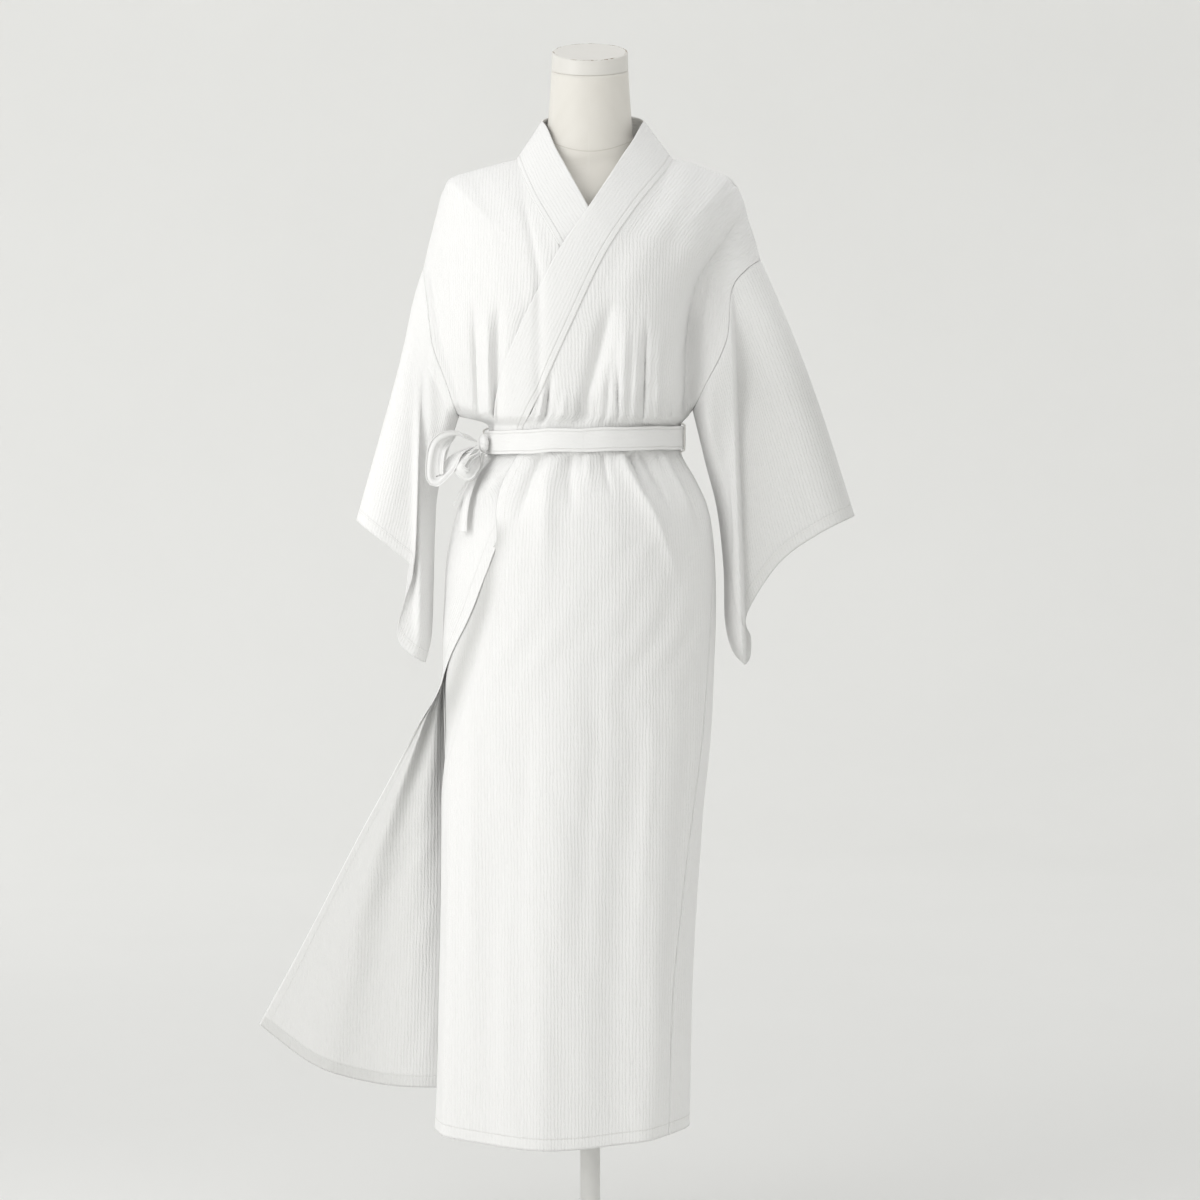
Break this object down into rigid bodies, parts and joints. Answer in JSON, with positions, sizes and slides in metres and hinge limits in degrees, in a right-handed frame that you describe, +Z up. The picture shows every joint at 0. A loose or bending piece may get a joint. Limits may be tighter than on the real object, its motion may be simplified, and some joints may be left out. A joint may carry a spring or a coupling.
{
  "type": "kimono robe on a limbless dress form",
  "caption": "White cotton kimono robe with wide open sleeves, a crossed neck band and a tied belt, on a limbless dress form with a pole and a round foot.",
  "frame": {"origin": "centre of the underside of the stand's foot, on the floor", "axes": "+Z up; the robe's front faces -Y and the wearer's left is +X"},
  "size_m": [0.8171, 0.3414, 1.6648],
  "materials": {
    "cloth": "matte crinkled cotton",
    "thread": "matte",
    "form_cover": "satin",
    "stand": "satin"
  },
  "bodies": {
    "root": {"front_left": "cloth", "front_right": "cloth", "back": "cloth", "sleeve_left": "cloth", "sleeve_right": "cloth", "collar_left": "cloth", "collar_right": "cloth", "collar_back": "cloth", "belt": "cloth", "belt_loop_left": "thread", "belt_loop_right": "thread", "belt_knot": "cloth", "bow_loop_upper": "cloth", "bow_loop_lower": "cloth", "tie_end_front": "cloth", "tie_end_back": "cloth", "form_body": "form_cover", "neck_cap": "form_cover", "foot": "stand", "pole": "stand"}
  },
  "joints": []
}
